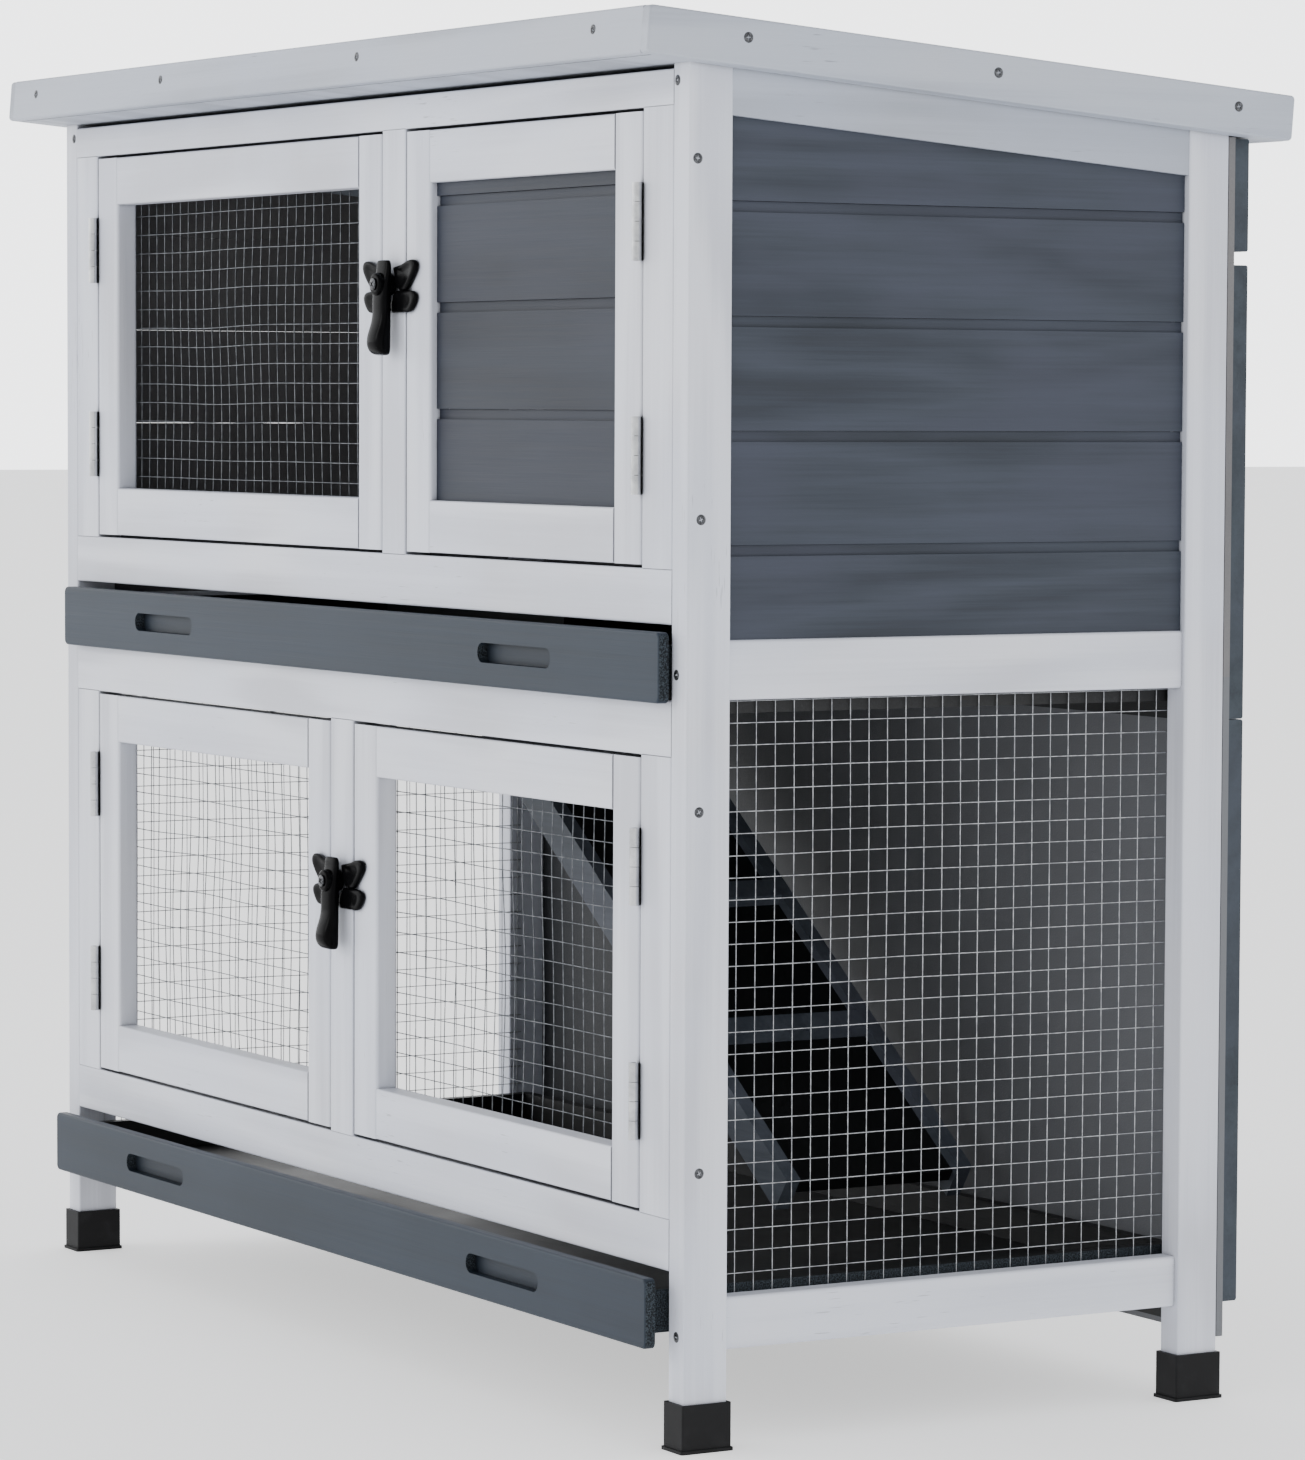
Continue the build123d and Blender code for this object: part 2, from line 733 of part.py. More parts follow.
def make_lower_tray_box(front_y, low):
    back_y = front_y + tray_depth
    rim = tray_wall
    wall_z = (low + tray_floor + joint_line, low + tray_wall_high)
    inside = tray_half - rim - joint_line
    with BuildPart() as box:
        span_box((-tray_half, tray_half), (front_y, back_y), (low, low + tray_floor))
        for side in both_sides:
            span_box(side_span(side, tray_half - rim, tray_half), (front_y, back_y), wall_z)
        span_box((-inside, inside), (front_y, front_y + rim), wall_z)
        span_box((-inside, inside), (back_y - rim, back_y), wall_z)
    save(box, "lower_tray_box")


make_tray_front("upper_tray_front", upper_tray_face, upper_tray_low)
make_upper_tray_box(upper_tray_face + tray_front_thick, upper_tray_low)
make_tray_front("lower_tray_front", lower_tray_face, lower_tray_low)
make_lower_tray_box(lower_tray_face + tray_front_thick, lower_tray_low)


# ---- frame screws: the heads that show ----
def make_frame_screws():
    with BuildPart() as screws:
        for side in both_sides:
            for y, z in post_side_screws:
                with Locations((side * (half_width + screw_proud / 2), y, z)):
                    Cylinder(screw_radius, screw_proud, rotation=(0, 90, 0))
            for x, z in post_front_screws:
                with Locations((side * x, -half_depth - screw_proud / 2, z)):
                    Cylinder(screw_radius, screw_proud, rotation=(90, 0, 0))
        roof_front = roof_shift - roof_deep / 2 + screw_proud / 2
        roof_side = roof_wide / 2 + screw_proud / 2
        with Locations(roof_plane.location):
            for x in fascia_front_screws:
                with Locations((x, roof_front - screw_proud, fascia_screw_high)):
                    Cylinder(screw_radius, screw_proud, rotation=(90, 0, 0))
            for side in both_sides:
                for y in fascia_side_screws:
                    with Locations((side * roof_side, y, fascia_screw_high)):
                        Cylinder(screw_radius, screw_proud, rotation=(0, 90, 0))
    save(screws, "frame_screws")


make_frame_screws()
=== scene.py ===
# %% [markdown]
# # A painted rabbit hutch, from bare shapes to finished surfaces
# The hutch has two rooms, one over the other. Each has two doors in front and a
# tray that pulls out. Its boards and posts are already here as exact shapes, so
# this lesson gives them paint, grain, wire and light.

# %% Load the shapes
import math
import random

import bmesh
import bpy
from mathutils import Matrix, Quaternion, Vector


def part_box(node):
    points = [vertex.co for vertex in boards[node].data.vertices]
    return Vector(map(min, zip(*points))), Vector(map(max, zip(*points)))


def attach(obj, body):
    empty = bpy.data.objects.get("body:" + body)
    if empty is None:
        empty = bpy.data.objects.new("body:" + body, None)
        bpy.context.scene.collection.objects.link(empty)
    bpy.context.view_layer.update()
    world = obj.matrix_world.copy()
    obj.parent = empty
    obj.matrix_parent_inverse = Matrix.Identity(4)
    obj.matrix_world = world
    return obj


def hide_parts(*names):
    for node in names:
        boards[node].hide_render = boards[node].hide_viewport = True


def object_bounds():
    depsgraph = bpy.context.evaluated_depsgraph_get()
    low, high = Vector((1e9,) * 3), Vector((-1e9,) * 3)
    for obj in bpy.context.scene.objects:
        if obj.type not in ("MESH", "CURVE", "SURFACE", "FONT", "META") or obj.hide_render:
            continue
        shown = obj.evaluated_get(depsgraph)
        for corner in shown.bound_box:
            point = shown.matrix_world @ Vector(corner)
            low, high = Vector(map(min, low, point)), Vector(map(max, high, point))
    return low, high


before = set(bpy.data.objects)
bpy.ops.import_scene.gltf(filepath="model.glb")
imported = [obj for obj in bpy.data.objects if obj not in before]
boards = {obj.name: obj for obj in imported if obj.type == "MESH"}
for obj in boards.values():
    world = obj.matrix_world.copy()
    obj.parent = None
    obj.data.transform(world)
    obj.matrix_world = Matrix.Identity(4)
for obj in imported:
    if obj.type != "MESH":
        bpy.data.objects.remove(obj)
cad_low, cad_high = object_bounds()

MM = 0.001
random.seed(11)
print(len(boards), "pieces, box", [round(v, 3) for v in (*cad_low, *cad_high)])

# %% [markdown]
# ## The camera
# A long lens from three and a half metres away keeps the uprights nearly parallel,
# which is how furniture is usually shown. The lens is turned by angles round the
# hutch, so it is easy to check: 0 degrees faces the doors and 90 the mesh side.

# %% Camera
turn_round, look_down, tilt = (math.radians(a) for a in (59.774, 3.753, 0.265))
towards_camera = Vector((
    math.sin(turn_round) * math.cos(look_down),
    -math.cos(turn_round) * math.cos(look_down),
    math.sin(look_down),
))
camera = bpy.data.objects.new("camera", bpy.data.cameras.new("camera"))
camera.location = (3.0816, -1.7279, 0.5985)
camera.rotation_mode = "QUATERNION"
level = (-towards_camera).to_track_quat("-Z", "Y")
camera.rotation_quaternion = level @ Quaternion((0, 0, 1), tilt)
camera.data.sensor_width = 36
camera.data.lens = 133.95
camera.data.shift_x, camera.data.shift_y = -0.0250, 0.0199
camera.data.clip_start, camera.data.clip_end = 0.1, 60
bpy.context.scene.collection.objects.link(camera)
bpy.context.scene.camera = camera
print("camera", round(camera.location.length, 2), "m from the hutch")

# %% [markdown]
# ## Floor and light
# Painted wood shows its grain only under soft light. The room is a pale sky that
# is brightest near the horizon and on the far side of the hutch, as in a studio
# with a lit white wall behind. A large lamp stands in front and a weak one on the
# right. The floor is plain and glows a little, like a white sweep under strong
# lamps, so light also comes up under the roof and through the mesh.

# %% Floor, sky and lamps
def add_lamp(name, place, aim, wide, power):
    lamp = bpy.data.lights.new(name, "AREA")
    lamp.shape, lamp.size, lamp.energy = "DISK", wide, power
    holder = bpy.data.objects.new(name, lamp)
    holder.location = place
    holder.rotation_mode = "QUATERNION"
    holder.rotation_quaternion = (Vector(aim) - Vector(place)).to_track_quat("-Z", "Y")
    bpy.context.scene.collection.objects.link(holder)
    print(name, power, "W,", wide, "m wide")


def make_sky(low_glow, high_glow, bright_side, contrast):
    """A gradient from horizon to zenith, brighter towards bright_side."""
    sky = bpy.data.worlds.new("sky")
    sky.use_nodes = True
    nodes, links = sky.node_tree.nodes, sky.node_tree.links
    direction = nodes.new("ShaderNodeTexCoord")
    height = nodes.new("ShaderNodeSeparateXYZ")
    glow = nodes.new("ShaderNodeMapRange")
    glow.inputs["From Min"].default_value = 0.12
    glow.inputs["From Max"].default_value = 0.75
    glow.inputs["To Min"].default_value = low_glow
    glow.inputs["To Max"].default_value = high_glow
    links.new(direction.outputs["Generated"], height.inputs[0])
    links.new(height.outputs["Z"], glow.inputs["Value"])
    leaning = nodes.new("ShaderNodeVectorMath")
    leaning.operation = "DOT_PRODUCT"
    leaning.inputs[1].default_value = bright_side
    uneven = nodes.new("ShaderNodeMapRange")
    uneven.inputs["From Min"].default_value = -1
    uneven.inputs["To Min"].default_value = 1 - contrast
    uneven.inputs["To Max"].default_value = 1 + contrast
    total = nodes.new("ShaderNodeMath")
    total.operation = "MULTIPLY"
    links.new(direction.outputs["Generated"], leaning.inputs[0])
    links.new(leaning.outputs["Value"], uneven.inputs["Value"])
    links.new(glow.outputs[0], total.inputs[0])
    links.new(uneven.outputs[0], total.inputs[1])
    links.new(total.outputs[0], nodes["Background"].inputs["Strength"])
    nodes["Background"].inputs["Color"].default_value = (0.975, 0.985, 1, 1)
    return sky


far_side = (-0.9, 0.43, 0)
bpy.context.scene.world = make_sky(2.5, 0.85, far_side, 0.42)
add_lamp("front_lamp", (-1.6, -3.6, 1.9), (0, 0, 0.45), 1.6, 30)
add_lamp("side_lamp", (3.9, 1.0, 1.0), (0, 0, 0.2), 1.4, 6)

floor_mesh = bpy.data.meshes.new("floor")
floor_half = 40.0
quarters = ((-1, -1), (1, -1), (1, 1), (-1, 1))
floor_corners = [(x * floor_half, y * floor_half, 0) for x, y in quarters]
floor_mesh.from_pydata(floor_corners, [], [(0, 1, 2, 3)])
floor = bpy.data.objects.new("floor", floor_mesh)
bpy.context.scene.collection.objects.link(floor)

# %% [markdown]
# ## Sums in a material
# Wood grain is arithmetic: stretched noise, cut into rings, added to a colour. A
# small class lets those sums be written as Python, and one method adds any other
# node. Numbers that don't vary are worked out in Python and never become nodes.

# %% Helpers for materials
class Value:
    """A node's output that can take part in sums, such as 0.3 * rings + fibres."""

    def __init__(self, finish, socket):
        self.finish, self.socket = finish, socket

    def sum(self, operation, first, second):
        return self.finish.node("Math", {"operation": operation}, {0: first, 1: second})

    def __add__(self, other):
        return self.sum("ADD", self, other)

    def __sub__(self, other):
        return self.sum("SUBTRACT", self, other)

    def __mul__(self, other):
        return self.sum("MULTIPLY", self, other)

    def __gt__(self, other):
        return self.sum("GREATER_THAN", self, other)

    __radd__, __rmul__ = __add__, __mul__


class Finish:
    """One material and the method that adds a node to it."""

    def __init__(self, name):
        self.material = bpy.data.materials.new(name)
        self.material.use_nodes = True
        self.tree = self.material.node_tree
        self.tree.nodes.clear()

    def node(self, kind, settings=None, sockets=None, output=0):
        made = self.tree.nodes.new("ShaderNode" + kind)
        for key, value in (settings or {}).items():
            setattr(made, key, value)
        for key, value in (sockets or {}).items():
            if isinstance(value, Value):
                self.tree.links.new(value.socket, made.inputs[key])
            else:
                made.inputs[key].default_value = value
        return Value(self, made.outputs[output] if made.outputs else None)

    def noise(self, place, scale, detail=2.0, rough=0.5, distortion=0.0):
        return self.node("TexNoise", {}, {
            "Vector": place, "Scale": scale, "Detail": detail,
            "Roughness": rough, "Distortion": distortion,
        })

    def colours(self, mask, first, second):
        """first where mask is 0, second where it is 1."""
        sockets = {0: mask, 6: first, 7: second}
        return self.node("Mix", {"data_type": "RGBA"}, sockets, output=2)

    def ramp(self, value, low, high):
        """0 below low, 1 above high, and smooth between them."""
        settings = {"interpolation_type": "SMOOTHSTEP"}
        sockets = {"Value": value, "From Min": low, "From Max": high}
        return self.node("MapRange", settings, sockets)

    def place(self, stretch=(1, 1, 1), shift=None):
        """Points on the piece, in metres times stretch, so noise can run along a board."""
        spot = self.node("TexCoord", output="Object")
        if shift is not None:
            spot = self.node("VectorMath", {"operation": "ADD"}, {0: spot, 1: shift})
        return self.node("Mapping", {}, {"Vector": spot, "Scale": stretch})

    def open_air(self, reach):
        """1 in the open, towards 0 where something stands within reach."""
        return self.node("AmbientOcclusion", {"samples": 4}, {"Distance": reach}, output="AO")

    def surface(self, **sockets):
        """Ends the material with one Principled shader."""
        named = {key.replace("_", " "): value for key, value in sockets.items()}
        shader = self.node("BsdfPrincipled", {}, named)
        self.node("OutputMaterial", {}, {"Surface": shader})
        return self.material


def colour(text):
    """A web colour as the light it reflects."""
    parts = [int(text[i:i + 2], 16) / 255 for i in (0, 2, 4)]
    return (*[((p + 0.055) / 1.055) ** 2.4 if p > 0.04045 else p / 12.92 for p in parts], 1)


def bumped(finish, height, distance):
    sockets = {"Height": height, "Distance": distance, "Strength": 1.0}
    return finish.node("Bump", {}, sockets, output="Normal")


print("white paint reflects", [round(v, 2) for v in colour("d9dbe3")[:3]])

# %% [markdown]
# ## The floor's finish
# A studio floor is matt and almost even. A little mottling stops it from looking
# like a hole in the picture, and it stays too faint to draw the eye.

# %% Floor finish
def make_floor_finish():
    finish = Finish("pale_floor")
    cloud = finish.noise(finish.place((0.6, 0.6, 0.6)), 2.0)
    shade = finish.colours(cloud, (0.80, 0.805, 0.81, 1), (0.83, 0.83, 0.835, 1))
    return finish.surface(
        Base_Color=shade, Roughness=0.9, Specular_IOR_Level=0.1,
        Emission_Color=(1, 1, 1, 1), Emission_Strength=0.75,
    )


floor_mesh.materials.append(make_floor_finish())

# %% [markdown]
# ## Painted timber
# The hutch is sawn fir under thin paint. The paint hides the wood's colour but not
# its relief: hard summer rings stand up as long ridges, fine fibres show between
# them, and the brush leaves faint streaks. All of it runs along each board, so the
# same recipe is made once for each direction. Rings come from broad noise, pulled
# long, multiplied up and folded into contour lines as on a map; that gives the
# arched figure of a flat-sawn board, which straight stripes never do. Narrow gaps
# and inside corners, found by how little air they see, are painted dark: partly
# dark wood and dirt where the paint does not reach, partly painted shade. The
# fascias, the roof battens and the top rails take a darker, bluer copy of the
# white: painted shade.

# %% Painted timber
ALONG = {"X": (1, 0, 0), "Y": (0, 1, 0), "Z": (0, 0, 1)}


def stretched(along, slow, fast):
    """Few waves per metre along the grain, many across it."""
    return tuple(slow if on else fast for on in ALONG[along])


def fold(finish, value, times):
    """Cuts a smooth value into rings: up and down, times over."""
    return finish.node("Math", {"operation": "PINGPONG"}, {0: value * times, 1: 1.0})


figure = 3.0
paint_relief = 0.4 * MM
# colour painted into gaps and inside corners: dark wood and dirt, and painted shade
gap_dirt_and_shade = colour("4a4a4c")


def tinted(shade, red, green, blue):
    """A colour with its three parts multiplied."""
    return (shade[0] * red, shade[1] * green, shade[2] * blue, 1)


def painted_timber(name, along, light, dark, gloss):
    """Painted board, its grain along one axis; figure says how strongly it shows."""
    finish = Finish(name)
    broad = finish.noise(finish.place(stretched(along, 1.3, 11.0)), 1.0, 2.0, 0.5, 0.4)
    rings = fold(finish, broad, 9.0)
    fibres = finish.noise(finish.place(stretched(along, 9.0, 460.0)), 1.0, 3.0, 0.6)
    streaks = finish.noise(finish.place(stretched(along, 2.2, 75.0)), 1.0, 2.0)
    clouds = finish.noise(finish.place(), 7.0, 3.0)
    pores = finish.noise(finish.place(stretched(along, 60.0, 900.0)), 1.0, 1.0)
    tone = rings * 0.34 + fibres * 0.24 + streaks * 0.42
    paint = finish.colours(finish.ramp(tone, 0.5 - 0.5 / figure, 0.5 + 0.5 / figure), dark, light)
    cooler = tinted(light, 0.93, 0.965, 1.03)
    paint = finish.colours(finish.ramp(clouds, 0.34, 0.66) * 0.5, paint, cooler)
    nicks = finish.ramp(pores * 0.5 + clouds * 0.5, 0.66, 0.72)
    paint = finish.colours(nicks * 0.5, paint, tinted(dark, 0.45, 0.45, 0.45))
    # gaps and inside corners painted dark: dirt, and painted shade
    paint = finish.colours(finish.ramp(finish.open_air(5 * MM), 0.12, 0.66), gap_dirt_and_shade, paint)
    return finish.surface(
        Base_Color=paint,
        Roughness=gloss + 0.16 * fibres,
        Normal=bumped(finish, rings * 0.45 + fibres * 0.35 + streaks * 0.5, paint_relief),
        Specular_IOR_Level=0.42,
    )


white, white_shade = colour("d9dbe3"), colour("c2c4cd")
# a darker, bluer copy of the white for the fascias, battens and top rails: painted shade
white_in_shade, white_dark_in_shade = colour("b1b6c0"), colour("9a9fa9")
white_paint = {
    along: painted_timber("white_paint_" + along.lower(), along, white, white_shade, 0.42)
    for along in ALONG
}
shaded_copy_paint = {
    along: painted_timber("shaded_copy_paint_" + along.lower(), along, white_in_shade, white_dark_in_shade, 0.46)
    for along in "XY"
}
print("white paint in", len(white_paint), "directions")

# %% [markdown]
# ## Which way the grain runs
# A post's grain runs up, a rail's runs across. A door frame has both: its two
# uprights and its two rails are one shape here, so each face takes the paint of
# the member it lies on. Only the faces' material numbers change, not the shape.

# %% Dress the white timber
def dress(names, finish):
    for name in names.split():
        boards[name].data.materials.clear()
        boards[name].data.materials.append(finish)


dress("post_front_left post_front_right post_rear_left post_rear_right "
      "upper_front_stiles lower_front_stiles upper_front_mullion lower_front_mullion",
      white_paint["Z"])
dress("upper_front_top_rail upper_front_bottom_rail lower_front_top_rail "
      "lower_front_bottom_rail", white_paint["X"])
dress("mid_side_rails bottom_side_rails", white_paint["Y"])
# the fascias, battens and top rails get the darker copy of the white: painted shade
dress("fascia_front fascia_back", shaded_copy_paint["X"])
dress("top_side_rails fascia_sides roof_battens", shaded_copy_paint["Y"])

member_wide = 32.2 * MM
for name in ("door_ul_frame", "door_ur_frame", "door_ll_frame", "door_lr_frame"):
    dress(name, white_paint["Z"])
    leaf = boards[name].data
    leaf.materials.append(white_paint["X"])
    low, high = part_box(name)
    for face in leaf.polygons:
        inside = low.x + member_wide < face.center.x < high.x - member_wide
        face.material_index = 1 if inside else 0
print("door frames carry two directions of grain")

# %% [markdown]
# ## Grey boards
# The side walls, the panelled door and the back are boards under a thin blue-grey
# stain, which lets more of the wood through than the white does: arched rings,
# darker streaks and a cloudy tone. On the side walls and the door panel each board
# is cut from another plank, so the pattern jumps at every joint. A whole number
# counted up the wall moves the noise.

# %% Grey boards
board_high = 65.0 * MM
first_joint = 517.7 * MM
door_first_joint = 594.0 * MM


def board_shift(finish, joint, axis):
    """A jump along the grain that is constant on one board."""
    spot = finish.node("TexCoord", output="Object")
    height = finish.node("SeparateXYZ", {}, {0: spot}, output="Z")
    number = finish.node("Math", {"operation": "FLOOR"}, {0: (height - joint) * (1 / board_high)})
    jump = number * 3.71
    return finish.node("CombineXYZ", {}, {axis: jump, "Z": number * 0.37})


stain_relief = 0.35 * MM


def stained_board(name, along, light, dark, joint=None):
    """Stained board; joint is the height of the wall's lowest joint, if it has any."""
    finish = Finish(name)
    shift = board_shift(finish, joint, along) if joint else None
    broad = finish.noise(finish.place(stretched(along, 1.1, 9.0), shift), 1.0, 2.0, 0.5, 0.6)
    rings = fold(finish, broad, 13.0)
    fibres = finish.noise(finish.place(stretched(along, 8.0, 420.0), shift), 1.0, 3.0, 0.62)
    streaks = finish.noise(finish.place(stretched(along, 3.0, 60.0), shift), 1.0, 3.0, 0.6)
    clouds = finish.noise(finish.place(stretched(along, 5.0, 13.0), shift), 1.0, 3.0, 0.55)
    tone = rings * 0.16 + fibres * 0.34 + streaks * 0.32 + clouds * 0.18
    paint = finish.colours(finish.ramp(tone, 0.28, 0.72), dark, light)
    violet = tinted(light, 1.04, 0.95, 1.03)
    paint = finish.colours(finish.ramp(clouds, 0.42, 0.64) * 0.4, paint, violet)
    height = rings * 0.4 + fibres * 0.45 + streaks * 0.4
    return finish.surface(
        Base_Color=paint,
        Roughness=0.44 + 0.16 * fibres,
        Normal=bumped(finish, height, stain_relief),
        Specular_IOR_Level=0.24,
    )


wall_light, wall_dark = colour("3c424d"), colour("292e36")
# the door panel takes a darker copy of the wall stain: painted shade
panel_light_in_shade, panel_dark_in_shade = colour("282e39"), colour("1c2029")
siding_finish = stained_board("grey_siding", "Y", wall_light, wall_dark, first_joint)
panel_finish = stained_board("grey_door_panel", "X", panel_light_in_shade, panel_dark_in_shade, door_first_joint)
back_finish = stained_board("grey_back", "X", colour("3a424a"), colour("282e34"))
dress("left_siding right_siding", siding_finish)
dress("door_ur_panel", panel_finish)
dress("back_upper_boards back_lower_board", back_finish)
print("grey boards", board_high, "m high")

# %% [markdown]
# ## Insides
# Inside, the walls are smooth grey board. The upper room's are painted paler, and
# in the lower room the board is painted lighter towards the mesh on the right,
# both as painted light. The ramp's sides are a bluer grey. The ramp's tread, the
# trays, the floor and the rails that hardly show are covered in a nearly black
# film, with a dull shine and fine scratches, because it is wiped clean so often.

# %% Inside finishes
floor_line = 436 * MM


def wall_board(name, lower, upper):
    """lower holds colours (in shade, lit towards the mesh), upper (dark, light), painted paler; all
    painted light; one for each room.
    """
    finish = Finish(name)
    clouds = finish.noise(finish.place(), 9.0, 4.0, 0.6)
    grit = finish.noise(finish.place(), 900.0, 2.0)
    tone = finish.ramp(clouds * 0.75 + grit * 0.25, 0.3, 0.7)
    spot = finish.node("TexCoord", output="Object")
    across = finish.node("SeparateXYZ", {}, {0: spot}, output="X") + (tone - 0.5) * 0.08
    # lighter towards the mesh on the right: painted light
    lit_towards_mesh = finish.ramp(across, -0.12, 0.40)
    upstairs = finish.node("SeparateXYZ", {}, {0: spot}, output="Z") > floor_line
    downstairs = finish.colours(lit_towards_mesh, *lower)
    # the upper room painted paler than the lower one: painted light
    paint = finish.colours(upstairs, downstairs, finish.colours(tone, *upper))
    return finish.surface(
        Base_Color=paint,
        Roughness=0.5 + 0.2 * grit,
        Normal=bumped(finish, grit + clouds * 2.0, 0.15 * MM),
        Specular_IOR_Level=0.35,
    )


def dark_film(name, light, dark):
    finish = Finish(name)
    scratches = finish.noise(finish.place((40, 900, 900)), 1.0, 2.0)
    clouds = finish.noise(finish.place(), 14.0, 4.0, 0.6)
    dust = finish.ramp(scratches * 0.55 + clouds * 0.45, 0.46, 0.72)
    return finish.surface(
        Base_Color=finish.colours(dust, dark, light),
        Roughness=0.42 + 0.28 * clouds,
        Normal=bumped(finish, scratches, 0.12 * MM),
        Specular_IOR_Level=0.35,
    )


# lower room from shaded to lit towards the mesh, upper room paler: painted light
lower_shade_to_light, upper_lit_tones = ("323437", "67696d"), ("5f5e60", "706f70")
inner_finish = wall_board("inner_grey", map(colour, lower_shade_to_light), map(colour, upper_lit_tones))
trim_finish = stained_board("ramp_side_grey", "X", colour("5a6069"), colour("444a52"))
film_finish = dark_film("black_film", colour("1a1b1d"), colour("0d0e0f"))
dress("back_sheet roof_board", inner_finish)
dress("ramp_trim", trim_finish)
dress("ramp_tread upper_floor upper_tray_box lower_tray_box tray_runners rear_rails", film_finish)
for name in ("left_siding", "right_siding"):
    wall = boards[name].data
    wall.materials.append(inner_finish)
    for face in wall.polygons:
        face.material_index = 1 if face.normal.x * face.center.x < 0 else 0

# %% [markdown]
# ## Tray fronts
# A tray front is one grey strip with two finger slots and round corners. Its ends
# are cut across the grain, and end grain drinks paint: it dries darker, rougher
# and speckled. The shape's own normal says which faces those are. The bottoms of
# the slots are painted darker still, as painted shade.

# %% Tray fronts
def tray_front_finish():
    finish = Finish("tray_grey")
    facing = finish.node("TexCoord", output="Normal")
    sideways = finish.node("SeparateXYZ", {}, {0: facing}, output="X")
    ends = finish.ramp(finish.node("Math", {"operation": "ABSOLUTE"}, {0: sideways}), 0.45, 0.95)
    fibres = finish.noise(finish.place(stretched("X", 7.0, 380.0)), 1.0, 3.0, 0.6)
    streaks = finish.noise(finish.place(stretched("X", 1.8, 50.0)), 1.0, 2.0)
    clouds = finish.noise(finish.place(), 9.0, 3.0)
    speck = finish.noise(finish.place(), 1100.0, 2.0, 0.7)
    tone = finish.ramp(fibres * 0.35 + streaks * 0.35 + clouds * 0.3, 0.3, 0.7)
    paint = finish.colours(tone, colour("1b242e"), colour("252f3b"))
    # slot bottoms, where little air reaches, painted darker: painted shade
    slot_shade = finish.ramp(finish.open_air(12 * MM), 0.2, 0.8)
    paint = finish.colours(slot_shade, colour("15181c"), paint)
    cut_end = finish.colours(finish.ramp(speck, 0.42, 0.62), colour("14171a"), colour("3a4249"))
    return finish.surface(
        Base_Color=finish.colours(ends, paint, cut_end),
        Roughness=0.42 + 0.10 * fibres + 0.3 * ends,
        Normal=bumped(finish, fibres * 0.5 + streaks * 0.4 + ends * speck, 0.3 * MM),
        Specular_IOR_Level=0.20,
    )


tray_paint = tray_front_finish()
dress("upper_tray_front lower_tray_front", tray_paint)
for name in ("upper_tray_box", "lower_tray_box"):
    box_mesh = boards[name].data
    box_mesh.materials.append(tray_paint)
    low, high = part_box(name)
    for face in box_mesh.polygons:
        outside = face.normal.y < -0.9 and face.center.y < low.y + 1 * MM
        face.material_index = 1 if outside or abs(face.center.x) > high.x - 0.1 * MM else 0

# %% [markdown]
# ## Roof felt
# The roof is covered with mineral felt: crushed slate pressed into bitumen. Seen
# close, it is a field of tiny facets, some dark and some glinting. Voronoi cells
# give each grain its own shade and height.

# %% Roof felt
def felt_finish():
    finish = Finish("roof_felt")
    spot = finish.place()
    cells = {"Vector": spot, "Scale": 620.0}
    grain_shade = finish.node("TexVoronoi", {}, cells, output="Color")
    grain_edge = finish.node("TexVoronoi", {}, cells, output="Distance")
    shade = finish.node("SeparateColor", {}, {0: grain_shade}, output="Red")
    clouds = finish.noise(spot, 6.0, 4.0, 0.6)
    tone = finish.ramp(shade * 0.7 + clouds * 0.3, 0.15, 0.85)
    return finish.surface(
        Base_Color=finish.colours(tone, colour("3c4147"), colour("7d848b")),
        Roughness=0.82 + 0.15 * shade,
        Normal=bumped(finish, shade - grain_edge, 0.5 * MM),
        Specular_IOR_Level=0.3,
    )


dress("roof_felt", felt_finish())

# %% [markdown]
# ## Metals and plastics
# Six small finishes do the rest. Galvanised wire is dull zinc with patches; the
# doors take a darker copy of it, as painted shade. The hinges are bright rolled
# steel. Every metal is painted darker where little air reaches, as painted shade:
# where the barrel meets the timber, and where the wires cross. The screws are
# darker still. Latches and foot caps are moulded black plastic, one glossy and
# one satin.

# %% Metals and plastics
def metal(name, light, dark, painted_shade, rough, patch, relief):
    """The fourth colour is painted where little air reaches, as painted shade; patch is patches to the
    metre.
    """
    finish = Finish(name)
    patches = finish.noise(finish.place(), patch, 3.0, 0.6)
    fine = finish.noise(finish.place(), 1800.0, 1.0)
    bright = finish.colours(finish.ramp(patches, 0.35, 0.65), colour(dark), colour(light))
    # darker where little air reaches: painted shade
    unshaded = finish.ramp(finish.open_air(4 * MM), 0.3, 0.85)
    return finish.surface(
        Base_Color=finish.colours(unshaded, colour(painted_shade), bright),
        Metallic=0.92,
        Roughness=rough + 0.16 * patches,
        Normal=bumped(finish, fine * 0.4 + patches, relief * MM),
    )


def moulded(name, shade, rough, relief, sheen):
    finish = Finish(name)
    skin = finish.noise(finish.place(), 1500.0, 2.0)
    smears = finish.noise(finish.place(), 60.0, 3.0)
    lighter = tinted(shade, 1.7, 1.7, 1.7)
    return finish.surface(
        Base_Color=finish.colours(finish.ramp(smears, 0.45, 0.8), shade, lighter),
        Roughness=rough + 0.14 * smears,
        Normal=bumped(finish, skin, relief * MM),
        Specular_IOR_Level=sheen,
        IOR=1.35,
    )


side_wire = metal("galvanised_wire", "c2c4c7", "989a9e", "7b7e82", 0.48, 200.0, 0.05)
